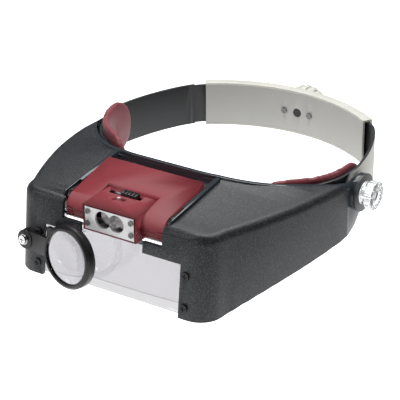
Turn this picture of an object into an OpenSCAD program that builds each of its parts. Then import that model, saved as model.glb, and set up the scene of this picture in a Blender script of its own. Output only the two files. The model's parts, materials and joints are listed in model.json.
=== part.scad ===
// Lighted headband magnifier: a tilting visor with a main lens, a flip-down lens, a swing-in loupe
// and a battery lamp, on a headband with a size knob. Millimetres, +Z up, the wearer looks along -Y.
// The origin is the middle of the head loop, where the wearer's head is.

/* [Visor shell] */
// Lean of the front face, back from upright, in degrees
face_tilt = 6.3; // [4:0.1:9]
// Half-width of the visor behind its front corners
face_half_w = 61.7; // [59:0.1:65]
// Half-width over the plain side arms
arm_half_w = 82.9; // [81:0.1:88]
// Height of the side ridges above the top of the window
ridge_rise = 16.9; // [15:0.1:20]
// How far the side ridges fall on their way back to the pivots
ridge_drop = 2.4; // [0:0.1:3]
// Height that the roof gains from the front crest to the forehead rim
roof_rise = 6.1; // [3:0.1:8]
// Wall of the moulded shell
wall = 2.2; // [1.6:0.1:2.8]
// Radius of the upright front corners
corner_r = 13; // [10:0.5:16]
// Radius between the front face and the roof
crest_r = 4; // [3:0.1:5]
// Radius between the roof and the side walls
ridge_r = 5; // [3.5:0.1:6.5]
// Bottom edge at the front, below the bottom of the window
foot_drop = 1.3; // [0.5:0.1:3]
// Slope of the bottom edge up towards the pivots, in degrees
foot_slope = 7.6; // [4:0.1:10]
// From the front face back to the pivot axis
pivot_y = 117.6; // [112:0.1:124]
// From the front of the side ridges down to the pivot axis
pivot_drop = 12.5; // [12:0.1:14]
// Radius of the round arm end
arm_end_r = 11.3; // [11:0.1:13]

/* [Window and lamp bay] */
// Half-width of the window
window_half_w = 43; // [38:0.1:44]
// Height of the window
window_h = 28; // [24:0.1:29]
// Half-width of the notch between the two lips
notch_half_w = 19.6; // [18:0.1:24]
// Height of the lips above the top of the window
lip_h = 6; // [4:0.1:7]
// Half-width of the lamp bay
bay_half_w = 31.2; // [30.9:0.1:33]
// Width of the raised border beside the bay
border_w = 2.5; // [1.5:0.1:3.5]
// Height of the raised border above the roof
border_h = 1.9; // [1:0.1:3]
// From the front face back to the forehead rim
rim_y = 57; // [55:0.1:59]
// How far the rim curves back from its middle to the arms
rim_depth = 42; // [40:0.1:46]
// Thickness of the rim's upright collar
collar_t = 2.2; // [1.6:0.1:3]
// Height of the collar's top edge above the ridges, in the middle
collar_rise = 8.1; // [6:0.1:9]

/* [Main lens and flip lens] */
// Radius of the curved face of the main lens
lens_curve_r = 250; // [220:1:400]
// Middle thickness of the main lens
lens_t = 6.4; // [6:0.1:7]
// How far the main lens plate reaches past the window on each side
lens_overlap = 5.6; // [5:0.1:5.6]
// Height of the lens above the window, in the notch
lens_tongue_h = 3.2; // [2:0.1:3.6]
// Radius of the lens screws' shanks
lens_screw_r = 1.1; // [0.8:0.05:1.3]
// Height of the lower lens screws above the bottom of the window
lens_screw_low = 4.9; // [4:0.1:6]
// Depth of the upper lens screws below the top of the window
lens_screw_drop = 5.6; // [5:0.1:8]
// Half-width of the flip lens
flip_half_w = 40.5; // [36:0.1:41]
// Height of the flip lens
flip_h = 26.5; // [24:0.1:27]
// Thickness of the flip lens
flip_t = 2.8; // [2.4:0.1:3]
// Radius of the flip lens rod
flip_rod_r = 1; // [0.8:0.05:1.1]

/* [Loupe] */
// Loupe pivot, to the left of the middle
loupe_x = 52.5; // [52.4:0.1:54]
// Loupe pivot, above the bottom of the window
loupe_z = 17.3; // [15:0.1:19]
// Turn of the loupe's plane from the face, in degrees
loupe_yaw = 9; // [6:0.1:12]
// From the pivot to the middle of the loupe
loupe_reach = 32.9; // [30:0.1:34]
// Radius of the loupe's clear opening
loupe_lens_r = 14.4; // [12:0.1:15]
// Width of the loupe's rim, across the lens
loupe_rim_w = 2.8; // [2.2:0.1:3.4]
// Depth of the loupe's rim
loupe_rim_t = 5; // [4.5:0.1:6]
// Height of the loupe's arm
loupe_arm_h = 10.4; // [9:0.1:11]
// Thickness of the loupe's arm
loupe_arm_t = 2.4; // [2:0.1:3]
// Height that the lug on the rim rises above the arm
loupe_lug_h = 6.5; // [4:0.1:8]

/* [Lamp] */
// From the front face back to the lamp's tilt axis
lamp_y = 13.8; // [13.4:0.1:14.4]
// Height of the lamp's tilt axis above the top of the window
lamp_rise = 11.3; // [11.2:0.1:12]
// Slope of the lamp's lid at rest, in degrees
lamp_slope = 12.5; // [11:0.1:14]
// Half-width of the lamp casing
lamp_half_w = 30.1; // [29.8:0.1:30.5]
// Radius of the casing's front barrel, half the casing's thickness
barrel_r = 7.3; // [7.2:0.1:7.5]
// From the tilt axis back to the rear of the casing
lamp_len = 33; // [32.8:0.1:34]
// Wall of the lamp casing
lamp_wall = 1.5; // [1.2:0.1:1.5]
// Half-width of the lamp head, the block in the middle
head_half_w = 16.4; // [16:0.1:17.5]
// Front of the lamp head, behind the front face
head_front_y = 2.2; // [1.8:0.1:3]
// Radius of a battery cell
cell_r = 5.2; // [5:0.05:5.25]
// Length of a battery cell
cell_len = 44.5; // [43:0.1:45]
// Radius of a reflector cup
cup_r = 4.8; // [4.4:0.1:4.9]
// Distance between the middles of the two cups
cup_gap = 8.4; // [8:0.1:8.8]
// Radius on which the aiming pin travels
aim_r = 7; // [6.6:0.1:7.2]
// Sideways travel of the aiming pin to each side, in degrees
aim_swing = 21; // [10:1:22]
// Length of the switch slot
switch_slot_l = 21.4; // [20:0.1:24]
// Length of the switch slider
slider_l = 9.5; // [8:0.1:10]

/* [Headband] */
// Radius of the forehead band in front
forehead_r = 100; // [98:1:104]
// Turn of the forehead band before it bends to the sides, in degrees
forehead_turn = 36.9; // [36:0.1:38]
// Gap between the rim's front and the forehead band
forehead_gap = 3; // [2.4:0.1:4]
// Inside length of the head loop
loop_len = 131.6; // [128:0.1:150]
// Thickness of the forehead band
band_t = 1.9; // [1.6:0.1:2.4]
// Height of the forehead band
band_h = 22; // [20:0.5:24]
// Thickness of the straps
strap_t = 1.5; // [1.3:0.1:1.9]
// Height of the straps
strap_h = 25; // [24:0.1:27]
// Inside radius of the rear sleeve
sleeve_r = 89.2; // [86:0.1:94]
// Half-length of the rear sleeve, as an angle in degrees
sleeve_half_angle = 36.6; // [34:0.1:40]
// Wall of the rear sleeve
sleeve_wall = 1.2; // [1:0.1:1.6]
// Length of a forehead pad
pad_l = 76; // [66:1:78]
// Height of a forehead pad
pad_h = 33; // [31:0.5:36]
// Radius of a forehead pad's round ends
pad_end_r = 15; // [8:0.5:15]
// How far the left pad sits above the band's middle, and the right one below it
pad_shift = 2; // [0:0.1:2]
// How far the left pad sits forward of its even place, and the right one behind it
pad_slide = 3; // [0:0.1:3]
// Thickness of a forehead pad at its crown
pad_t = 4.6; // [3.5:0.1:5.5]

/* [Pivots and knobs] */
// Radius of the pivot pins
bolt_r = 2; // [1.6:0.1:2.4]
// Radius of the round hub on the right arm
hub_r = 10.4; // [9.5:0.1:12]
// Height of the hub above the arm
hub_t = 1.4; // [1:0.1:3]
// Radius of the grey washer
washer_r = 10.6; // [9:0.1:11.8]
// Thickness of the grey washer
washer_t = 1.2; // [1:0.1:3]
// Radius of the clear side knob
knob_r = 7.9; // [7.4:0.1:9]
// Thickness of the clear side knob, with its collar
knob_t = 7.4; // [6:0.1:8]
// Number of grip flutes on the side knob
knob_flutes = 14; // [10:1:18]
// Radius of the rear size knob
rear_knob_r = 13.2; // [11:0.1:14]
// Thickness of the rear size knob
rear_knob_t = 9.5; // [8:0.1:11]
// Number of grip flutes on the rear knob
rear_knob_flutes = 18; // [12:1:24]
// Pitch radius of the pinion that drives the straps
pinion_r = 4.5; // [4.5:0.1:4.7]

/* [Hidden] */
$fn = 64;
black = [0.07, 0.07, 0.08];
textured_black = [0.10, 0.10, 0.12];
clear = [0.85, 0.88, 0.90];
burgundy = [0.55, 0.16, 0.20];
silver = [0.78, 0.78, 0.80];
steel = [0.62, 0.62, 0.64];
grey = [0.68, 0.69, 0.67];
brass = [0.80, 0.68, 0.35];
dark_grey = [0.20, 0.21, 0.22];

// Gap between parts that lie against each other but are taken apart
seat_gap = 0.05;
// Gap between parts that move past each other
run_gap = 0.3;
// Radial clearance of a pin in its bore
pin_gap = 0.05;
// Overlap of a cutter past the face that it opens
past = 1;

// Places that several parts share
arm_in_x = arm_half_w - wall;
side_end_y = pivot_y - arm_end_r - 1.3;
ridge_z = window_h + ridge_rise;
lamp_z = window_h + lamp_rise;
pivot_z = ridge_z - pivot_drop;
band_z = pivot_z + 0.1;
strap_out_x = arm_in_x - run_gap;
strap_in_x = strap_out_x - strap_t;
band_gap = 0.6;
band_out_x = strap_in_x - band_gap;
band_in_x = band_out_x - band_t;
band_front_y = rim_y + forehead_gap;
head_y = band_front_y + band_t + loop_len / 2;
head_centre = [0, head_y, band_z];

// Everything is drawn from the foot of the front face and set about the head's middle
module about_head() {
    translate([-head_centre[0], -head_centre[1], -head_centre[2]]) children();
}
module both_sides() {
    children();
    mirror([1, 0, 0]) children();
}
// A rod along X from x0 to x1 at the given y and z
module rod_x(x0, x1, r, y, z) {
    translate([x0, y, z]) rotate([0, 90, 0]) cylinder(h = x1 - x0, r = r);
}
module box(low, high) {
    translate(low) cube([high[0] - low[0], high[1] - low[1], high[2] - low[2]]);
}
// A prism along X between x0 and x1, from an outline in y and z
module prism_x(x0, x1, outline) {
    translate([x0, 0, 0]) rotate([90, 0, 90]) linear_extrude(height = x1 - x0) polygon(outline);
}
// Local frame of the leaning front face: y runs into the visor, z up the face
module on_face() {
    rotate([-face_tilt, 0, 0]) children();
}

// Visor shell. A section stands at each station y, inset by the wall for the hollow inside.
crest_y = 8;
roof_flat_x = 34;
skirt = 20;
tilt_end_y = 60;
side_bulge = 1.7;
foot_bulge = 1.2;
ridge_steps = 7;
ridge_fall = 3;
stations_front = [0, 0.35, 0.9, 1.8, 3, 4, 6, 8.5, corner_r];
stations_back = [20, 30, 40, 50, 60, 70, 80, 90, side_end_y];

function corner_in(d, r) = d >= r ? 0 : (d <= 0 ? r : r - sqrt(r * r - (r - d) * (r - d)));
function side_t(y) = max(0, min(1, (y - corner_r) / (side_end_y - corner_r)));
function side_x(y) = arm_half_w - (arm_half_w - face_half_w) * pow(1 - side_t(y), side_bulge);
function foot_x(y) = arm_half_w - (arm_half_w - face_half_w) * pow(1 - side_t(y), foot_bulge);
function ridge_at(y) = ridge_z - ridge_drop * pow(side_t(y), ridge_fall);
function roof_z(y) = ridge_z + roof_rise * max(0, min(1.6, (y - crest_y) / (rim_y - crest_y)));
function lean(y, z) = z * tan(face_tilt) * max(0, min(1, (tilt_end_y - y) / (tilt_end_y - corner_r)));
function half_section(y, inset) =
    let (d = y - inset,
         c = corner_in(d, corner_r - inset),
         k = corner_in(d, crest_r - inset),
         xs = side_x(y) - inset - c,
         xf = foot_x(y) - inset - c,
         zr = ridge_at(y) - inset - k,
         zc = roof_z(y) - inset - k,
         r = ridge_r - inset)
    concat([[xf - (xs - xf) * skirt / ridge_z, -skirt]],
           [for (i = [0 : ridge_steps])
               let (a = 90 * i / ridge_steps) [xs - r + r * cos(a), zr - r + r * sin(a)]],
           [[roof_flat_x, zc]]);
function section(y, inset) =
    let (h = half_section(y, inset), n = len(h))
    [for (i = [0 : 2 * n - 1])
        let (p = i < n ? h[i] : [-h[2 * n - 1 - i][0], h[2 * n - 1 - i][1]])
        [-p[0], y + lean(y, p[1]), p[1]]];
// A closed skin through a list of rings with the same number of points. Flat ends are one face;
// bent ones are strips between the points that face each other across the ring.
module loft(rings, bent_ends = false) {
    n = len(rings[0]);
    last = len(rings) - 1;
    flat_cap = [[for (i = [0 : n - 1]) i]];
    strips = concat([for (i = [0 : n / 2 - 2]) [i, i + 1, n - i - 1]],
                    [for (i = [1 : n / 2 - 1]) [i, n - i - 1, n - i]]);
    cap = bent_ends ? strips : flat_cap;
    polyhedron(
        points = [for (ring = rings) each ring],
        faces = concat(
            cap,
            [for (face = cap) [for (i = reversed(face)) last * n + i]],
            [for (s = [0 : last - 1]) for (i = [0 : n - 1])
                let (j = (i + 1) % n)
                each [[s * n + i, (s + 1) * n + i, (s + 1) * n + j],
                      [s * n + i, (s + 1) * n + j, s * n + j]]]));
}
module shell_solid(inset, tail) {
    loft([for (y = concat(stations_front, stations_back, [pivot_y + arm_end_r + tail]))
             let (station = y < corner_r ? inset + y * (corner_r - inset) / corner_r : y)
             section(station, inset)]);
}
// Side view of the shell: level foot, rising bottom edge, round arm end
foot_level_y = 12;
arm_steps = 12;
arm_end_z = ridge_z - ridge_drop - arm_end_r;
heel_y0 = 11.6;
heel_y1 = 4.9;
heel_rise = 3.3;
function foot_z(y) = -foot_drop + max(0, y - foot_level_y) * tan(foot_slope);
kink_y = pivot_y - heel_y0;
side_outline = concat(
    [[-skirt, -foot_drop], [foot_level_y, -foot_drop], [kink_y, foot_z(kink_y)],
     [pivot_y - heel_y1, foot_z(kink_y) + heel_rise]],
    [for (i = [0 : arm_steps])
        let (a = -90 + 180 * i / arm_steps)
        [pivot_y + arm_end_r * cos(a), arm_end_z + arm_end_r * sin(a)]],
    [[side_end_y, ridge_z], [side_end_y, 2 * ridge_z], [-skirt, 2 * ridge_z]]);

// Forehead rim in plan, and the height of its collar
rim_flat_x = 18;
rim_side_in = 4.9;
rim_side_x = arm_half_w - rim_side_in;
rim_power = 2.144;
collar_flat_x = 28;
collar_end_x = 76;
collar_power = 1.2;
rim_steps = 20;
function rim_at(x) =
    rim_y + rim_depth * pow(max(0, abs(x) - rim_flat_x) / (rim_side_x - rim_flat_x), rim_power);
function collar_z(x) =
    let (t = max(0, abs(x) - collar_flat_x) / (collar_end_x - collar_flat_x))
    ridge_at(rim_at(x)) + collar_rise * (1 - pow(t, collar_power));
rim_half = [for (i = [0 : rim_steps]) let (x = rim_side_x * i / rim_steps) [x, rim_at(x)]];
rim_line = concat([for (i = [rim_steps : -1 : 1]) [-rim_half[i][0], rim_half[i][1]]], rim_half);

// Offsets of a path in plan: positive d lies to the left of its direction
function unit(v) = v / norm(v);
function path_dir(p, i) = unit(p[min(i + 1, len(p) - 1)] - p[max(i - 1, 0)]);
function shifted(p, d) =
    [for (i = [0 : len(p) - 1]) let (t = path_dir(p, i)) p[i] + d * [-t[1], t[0]]];
function reversed(p) = [for (i = [len(p) - 1 : -1 : 0]) p[i]];
module ribbon(path, d0, d1, z0, z1) {
    translate([0, 0, z0]) linear_extrude(height = z1 - z0)
        polygon(concat(shifted(path, d0), reversed(shifted(path, d1))));
}

main_lens_seat_y = wall + seat_gap;
lens_screw_x = window_half_w + 3.3;
lens_screw_high = window_h - lens_screw_drop;
lens_screw_places =
    [for (sx = [-1, 1]) for (z = [lens_screw_low, lens_screw_high]) [sx * lens_screw_x, z]];
screw_fit_r = lens_screw_r + 0.15;
// The flip lens hangs from a rod behind the main lens
flip_y = main_lens_seat_y + lens_t + 0.9;
flip_rod_y = flip_y + flip_t - 0.1;
flip_rod_z = window_h + lens_tongue_h + 0.4;
flip_top_z = flip_rod_z - 2.6;
flip_ear_x = flip_half_w + 4.2;
flip_ear_t = 2;
flip_ear_r = 2.6;

loupe_seat = 1.6;
loupe_boss_r = 5.6;
loupe_foot = [-loupe_x, tan(face_tilt) * loupe_z + 1.1 - loupe_seat, loupe_z];
// Local frame of the loupe: x along the arm, -y towards the viewer, origin on the seat
module at_loupe() {
    translate(loupe_foot) rotate([-face_tilt, 0, 0]) rotate([0, 0, -loupe_yaw]) children();
}
module rod_y(y0, y1, r, x, z) {
    translate([x, y1, z]) rotate([90, 0, 0]) cylinder(h = y1 - y0, r = r);
}

clip_t = 2;
clip_gap = 0.4;
clip_x = lamp_half_w + clip_gap;
clip_y0 = 8;
clip_y1 = 22;
clip_top_z = lamp_z + 7.5;
clip_foot_z = ridge_z - wall - seat_gap - 0.1;
clip_foot_t = 1.6;
clip_foot_w = 7;
trunnion_r = 2.2;

module visor_housing() {
    color(textured_black) about_head() {
        difference() {
            union() {
                intersection() {
                    difference() {
                        shell_solid(0, past);
                        shell_solid(wall, 2 * past);
                    }
                    prism_x(-arm_half_w - past, arm_half_w + past, side_outline);
                }
                both_sides() roof_border();
            }
            head_opening();
            window_opening();
            bay_opening();
            both_sides() clip_pocket();
            both_sides() rod_x(arm_in_x - past, arm_half_w + past, bolt_r + pin_gap, pivot_y, pivot_z);
            lens_screw_holes();
            at_loupe() rod_y(-past, 3 * wall, loupe_screw_r + pin_gap, 0, 0);
            both_sides() clip_screw_hole();
        }
        rim_collar();
        hub();
        both_sides() flip_ear();
        loupe_boss();
    }
}
// Raised border beside the lamp bay
module roof_border() {
    y0 = crest_y;
    y1 = rim_y - collar_t;
    prism_x(bay_half_w - wall, bay_half_w + border_w,
            [[y0, roof_z(y0) - wall], [y1, roof_z(y1) - wall], [y1, roof_z(y1) + border_h],
             [y0 + 2, roof_z(y0) + border_h], [y0, roof_z(y0)]]);
}
// Everything behind the rim is open for the head, between the side arms
module head_opening() {
    translate([0, 0, -2 * skirt]) linear_extrude(height = 6 * skirt)
        polygon(concat([[-arm_in_x, side_end_y], [-arm_in_x, 2 * pivot_y]],
                       [[arm_in_x, 2 * pivot_y], [arm_in_x, side_end_y]],
                       reversed(rim_line)));
}
module window_opening() {
    on_face() {
        box([-window_half_w, -2 * wall, -2 * skirt], [window_half_w, 3 * wall, window_h]);
        box([-notch_half_w, -2 * wall, window_h - past], [notch_half_w, 3 * wall, 2 * ridge_z]);
    }
}
module bay_opening() {
    box([-bay_half_w, -2 * past, (window_h + lip_h) * cos(face_tilt)],
        [bay_half_w, rim_y - collar_t, 2 * ridge_z]);
}
module clip_pocket() {
    box([bay_half_w - past, clip_y0 - run_gap, ridge_z - ridge_r - wall],
        [clip_x + clip_t + run_gap, clip_y1 + run_gap, 2 * ridge_z]);
}
module clip_screw_hole() {
    translate([clip_screw_at[0], clip_screw_at[1], clip_foot_z - past])
        cylinder(h = past + clip_screw_bite + seat_gap, r = clip_screw_r + pin_gap / 2);
}
module lens_screw_holes() {
    on_face() for (p = lens_screw_places) rod_y(-2 * past, 2 * wall, screw_fit_r, p[0], p[1]);
}
// Smooth collar that stands along the forehead rim
module rim_collar() {
    depth_y = 2 * pivot_y;
    crown = [for (i = [0 : rim_steps])
                let (x = -collar_end_x + 2 * collar_end_x * i / rim_steps) [x, collar_z(x)]];
    intersection() {
        ribbon(rim_line, -collar_t, 0, ridge_z - wall, 2 * ridge_z);
        translate([0, depth_y, 0]) rotate([90, 0, 0]) linear_extrude(height = depth_y)
            polygon(concat([[collar_end_x, ridge_z - 2 * wall], [-collar_end_x, ridge_z - 2 * wall]], crown));
    }
}
module hub() {
    difference() {
        rod_x(arm_half_w - wall / 2, arm_half_w + hub_t, hub_r, pivot_y, pivot_z);
        rod_x(arm_in_x - past, arm_half_w + hub_t + past, bolt_r + pin_gap, pivot_y, pivot_z);
    }
}
module flip_ear() {
    on_face() difference() {
        union() {
            box([flip_ear_x, wall / 2, window_h + 0.6],
                [flip_ear_x + flip_ear_t, flip_rod_y, flip_rod_z + flip_ear_r]);
            rod_x(flip_ear_x, flip_ear_x + flip_ear_t, flip_ear_r, flip_rod_y, flip_rod_z);
        }
        rod_x(flip_ear_x - past, flip_ear_x + flip_ear_t - 0.6, flip_rod_r + pin_gap, flip_rod_y, flip_rod_z);
    }
}
module loupe_boss() {
    at_loupe() difference() {
        rod_y(0, loupe_seat + wall / 2, loupe_boss_r, 0, 0);
        rod_y(-past, 3 * wall, loupe_screw_r + pin_gap, 0, 0);
    }
}

// Main lens: flat in front, curved at the back, with a tongue in the notch
module main_lens() {
    half_w = window_half_w + lens_overlap;
    color(clear) about_head() on_face() difference() {
        intersection() {
            union() {
                box([-half_w, main_lens_seat_y, 0], [half_w, main_lens_seat_y + lens_t, window_h]);
                box([-notch_half_w + 0.2, main_lens_seat_y, window_h - past],
                    [notch_half_w - 0.2, main_lens_seat_y + lens_t, window_h + lens_tongue_h]);
            }
            translate([0, main_lens_seat_y + lens_t - lens_curve_r, window_h / 2])
                sphere(r = lens_curve_r, $fn = 200);
        }
        for (p = lens_screw_places)
            rod_y(main_lens_seat_y - past, main_lens_seat_y + lens_t + past, screw_fit_r, p[0], p[1]);
    }
}
lens_nut_y = main_lens_seat_y + 2.5;
lens_nut_t = 1.6;
lens_screw_head_r = 2 * lens_screw_r;
lens_screw_head_t = 0.9;
module screw_slot(r, depth) {
    slot_w = r * 0.28;
    for (turn = [0, 90]) rotate([0, turn, 0])
        box([-r * 0.62, -past, -slot_w / 2], [r * 0.62, depth, slot_w / 2]);
}
module lens_screws() {
    color(black) about_head() on_face() for (p = lens_screw_places) translate([p[0], 0, p[1]]) {
        difference() {
            union() {
                rod_y(-lens_screw_head_t - seat_gap, -seat_gap, lens_screw_head_r, 0, 0);
                rod_y(-lens_screw_head_t / 2, lens_nut_y + lens_nut_t + 0.4, lens_screw_r, 0, 0);
            }
            translate([0, -lens_screw_head_t, 0]) screw_slot(lens_screw_head_r, lens_screw_head_t / 2);
        }
    }
}
module lens_nuts() {
    nut_r = 2 * lens_screw_r;
    color(steel) about_head() on_face() for (p = lens_screw_places)
        difference() {
            translate([p[0], lens_nut_y + lens_nut_t, p[1]]) rotate([90, 0, 0])
                cylinder(h = lens_nut_t, r = nut_r, $fn = 6);
            rod_y(lens_nut_y - past, lens_nut_y + lens_nut_t + past, lens_screw_r + pin_gap / 2, p[0], p[1]);
        }
}
module flip_lens() {
    bottom_z = flip_top_z - flip_h;
    knuckle_w = 3;
    knuckle_r = 2;
    color(clear) about_head() on_face() difference() {
        union() {
            box([-flip_half_w, flip_y, bottom_z], [flip_half_w, flip_y + flip_t, flip_top_z]);
            both_sides() {
                box([flip_half_w - knuckle_w, flip_y, flip_top_z - past],
                    [flip_half_w, flip_y + flip_t, flip_rod_z]);
                rod_x(flip_half_w - knuckle_w, flip_half_w, knuckle_r, flip_rod_y, flip_rod_z);
            }
        }
        both_sides() rod_x(flip_half_w - 2 * knuckle_w, flip_half_w + past, flip_rod_r + pin_gap,
                           flip_rod_y, flip_rod_z);
    }
}
module flip_hinge_rod() {
    reach = flip_ear_x + flip_ear_t - 0.6 - seat_gap;
    color(steel) about_head() on_face() rod_x(-reach, reach, flip_rod_r, flip_rod_y, flip_rod_z);
}

loupe_arm_y = -seat_gap - loupe_arm_t;
loupe_rim_y = -seat_gap - loupe_rim_t;
loupe_rim_r = loupe_lens_r + loupe_rim_w;
loupe_bore_r = loupe_lens_r + 0.8;
loupe_hub_r = 5.2;
loupe_screw_r = lens_screw_r + 0.4;
module loupe_frame() {
    color(black) about_head() at_loupe() difference() {
        union() {
            translate([loupe_reach, 0, 0]) loupe_rim();
            box([0, loupe_arm_y, -loupe_arm_h / 2],
                [loupe_reach - loupe_lens_r, -seat_gap, loupe_arm_h / 2]);
            box([loupe_reach - loupe_rim_r * 0.98, loupe_arm_y, 0],
                [loupe_reach - loupe_rim_r * 0.52, -seat_gap, loupe_arm_h / 2 + loupe_lug_h]);
            rod_y(loupe_arm_y - 0.6, -seat_gap, loupe_hub_r, 0, 0);
        }
        rod_y(-4 * loupe_rim_t, 4 * loupe_rim_t, loupe_bore_r, loupe_reach, 0);
        rod_y(loupe_arm_y - 4, past, loupe_screw_r + pin_gap, 0, 0);
    }
    color(black) about_head() at_loupe() translate([loupe_reach, 0, 0]) rotate([90, 0, 0])
        rotate_extrude() translate([loupe_lens_r, -loupe_rim_y - loupe_ledge_t])
            square([loupe_bore_r - loupe_lens_r + 0.2, loupe_ledge_t]);
}
// The rim narrows towards the viewer, with a bevel
module loupe_rim() {
    bevel = 1.4;
    translate([0, loupe_rim_y + loupe_rim_t, 0]) rotate([90, 0, 0]) rotate_extrude()
        polygon([[loupe_bore_r - 0.4, 0], [loupe_rim_r, 0], [loupe_rim_r, loupe_rim_t - bevel],
                 [loupe_rim_r - bevel, loupe_rim_t], [loupe_bore_r - 0.4, loupe_rim_t]]);
}
loupe_curve_r = 92;
loupe_edge_t = 1.4;
loupe_lens_steps = 10;
// Height of a lens face above its edge at the radius r
function loupe_bulge(r) =
    sqrt(loupe_curve_r * loupe_curve_r - r * r)
    - sqrt(loupe_curve_r * loupe_curve_r - loupe_bore_r * loupe_bore_r);
loupe_ledge_t = 0.9;
loupe_ring_t = 1;
loupe_ring_in_r = loupe_lens_r - 0.2;
loupe_glass_y = loupe_rim_y + loupe_ledge_t + seat_gap + loupe_bulge(loupe_lens_r);
module loupe_lens() {
    edge_r = loupe_bore_r - seat_gap;
    half_t = loupe_edge_t / 2;
    face = [for (i = [0 : loupe_lens_steps])
        let (r = edge_r * i / loupe_lens_steps) [r, half_t + loupe_bulge(r)]];
    color(clear) about_head() at_loupe()
        translate([loupe_reach, loupe_glass_y + half_t, 0]) rotate([90, 0, 0]) rotate_extrude()
            polygon(concat(face, [for (p = reversed(face)) [p[0], -p[1]]]));
}
module loupe_retaining_ring() {
    ring_y = loupe_glass_y + loupe_edge_t + loupe_bulge(loupe_ring_in_r) + seat_gap;
    color(black) about_head() at_loupe() difference() {
        rod_y(ring_y, ring_y + loupe_ring_t, loupe_bore_r - seat_gap, loupe_reach, 0);
        rod_y(ring_y - past, ring_y + loupe_ring_t + past, loupe_ring_in_r, loupe_reach, 0);
    }
}
loupe_washer_t = 0.5;
loupe_face_y = loupe_arm_y - 0.6;
module loupe_washer() {
    y1 = loupe_face_y - seat_gap;
    color(steel) about_head() at_loupe() difference() {
        rod_y(y1 - loupe_washer_t, y1, loupe_screw_r + 1.4, 0, 0);
        rod_y(y1 - 2, y1 + past, loupe_screw_r + pin_gap, 0, 0);
    }
}
loupe_nut_y = 4.6;
loupe_nut_t = 1.8;
loupe_nut_r = 2.7;
module loupe_pivot_screw() {
    head_y1 = loupe_face_y - loupe_washer_t - 2 * seat_gap;
    head_t = 1.3;
    color(silver) about_head() at_loupe() difference() {
        union() {
            rod_y(head_y1 - head_t, head_y1, loupe_screw_r + 0.9, 0, 0);
            rod_y(head_y1 - head_t / 2, loupe_nut_y + loupe_nut_t + 0.4, loupe_screw_r, 0, 0);
        }
        translate([0, head_y1 - head_t, 0]) screw_slot(loupe_screw_r + 0.9, head_t / 2);
    }
}
module loupe_nut() {
    color(steel) about_head() at_loupe() difference() {
        translate([0, loupe_nut_y + loupe_nut_t, 0]) rotate([90, 0, 0])
            cylinder(h = loupe_nut_t, r = loupe_nut_r, $fn = 6);
        rod_y(loupe_nut_y - past, loupe_nut_y + loupe_nut_t + past, loupe_screw_r + pin_gap / 2, 0, 0);
    }
}

// Local frame of the lamp: origin on the tilt axis, y back along the sloping lid, z up from it
module in_lamp() {
    translate([0, lamp_y, lamp_z]) rotate([lamp_slope, 0, 0]) children();
}
parting = 1.2;
head_top_z = lamp_z + 7.3;
head_low_z = lamp_z - 7;
head_rear_y = 25;
head_slope = 2.7;
function head_top_at(y) = head_top_z + (y - head_front_y) * tan(head_slope);
// The slab with its front barrel, shrunk by inset and lowered where the head's flat top lies
module casing(inset) {
    w = lamp_half_w - inset;
    step_x = head_half_w + inset;
    step_y = head_rear_y + inset;
    difference() {
        in_lamp() {
            rod_x(-w, w, barrel_r - inset, 0, 0);
            box([-w, 0, -barrel_r + inset], [w, lamp_len - inset, barrel_r - inset]);
        }
        prism_x(-step_x, step_x, [[0, head_top_at(0) - inset], [step_y, head_top_at(step_y) - inset],
                                  [step_y, 2 * head_top_z], [0, 2 * head_top_z]]);
    }
}
module head_block(inset, open) {
    y0 = head_front_y - open;
    prism_x(-head_half_w + inset, head_half_w - inset,
            [[y0, head_low_z + inset], [head_rear_y, head_low_z + inset],
             [head_rear_y, head_top_at(head_rear_y) - inset], [y0, head_top_at(y0) - inset]]);
}
module hollow_casing() {
    difference() {
        union() {
            casing(0);
            head_block(0, 0);
            both_sides() barrel_ribs();
        }
        casing(lamp_wall);
        head_block(lamp_wall, past);
        box([-bezel_half_w - seat_gap, head_front_y - past, bezel_low_z - seat_gap],
            [bezel_half_w + seat_gap, bezel_y1 + seat_gap, bezel_top_z + seat_gap]);
    }
}
far = 100;
module above_parting() {
    in_lamp() box([-far, -far, parting + seat_gap / 2], [far, far, far]);
}
module below_parting() {
    in_lamp() box([-far, -far, -far], [far, far, parting - seat_gap / 2]);
}
bezel_half_w = 15.3;
bezel_low_z = lamp_z - 6.3;
bezel_top_z = lamp_z + 6.4;
bezel_t = 1.4;
bezel_y0 = head_front_y + 0.15;
bezel_y1 = bezel_y0 + bezel_t;
bezel_screw_x = 13.6;
bezel_screw_low = lamp_z - 3;
bezel_screw_high = lamp_z + 3.8;
bezel_screw_r = 0.75;
bezel_post_r = 1.7;
bezel_post_l = 5;
cup_z = lamp_z + 0.8;
cup_front_y = 7.7;
cup_depth = 6.4;
cup_wall = 0.4;
module bezel_posts(z) {
    both_sides() difference() {
        rod_y(bezel_y1 + seat_gap, bezel_y1 + bezel_post_l, bezel_post_r, bezel_screw_x, z);
        rod_y(bezel_y1 - past, bezel_y1 + bezel_post_l + past, bezel_screw_r + pin_gap / 2, bezel_screw_x, z);
    }
}
// The aiming pin stands on the reflector unit and travels in an arc slot in the head's top
aim_axis = [-1, 8.6];
aim_rest_angle = 106;
aim_pin_r = 0.9;
aim_slot_half = aim_swing + 11;
aim_slot_r = aim_pin_r + 0.35;
aim_pin_at = aim_axis + aim_r * [cos(aim_rest_angle), sin(aim_rest_angle)];
module aim_slot() {
    translate([aim_axis[0], aim_axis[1], head_top_z - 2 * lamp_wall])
        rotate([0, 0, aim_rest_angle - aim_slot_half])
            rotate_extrude(angle = 2 * aim_slot_half)
                translate([aim_r - aim_slot_r, 0]) square([2 * aim_slot_r, 4 * lamp_wall]);
}
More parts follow.
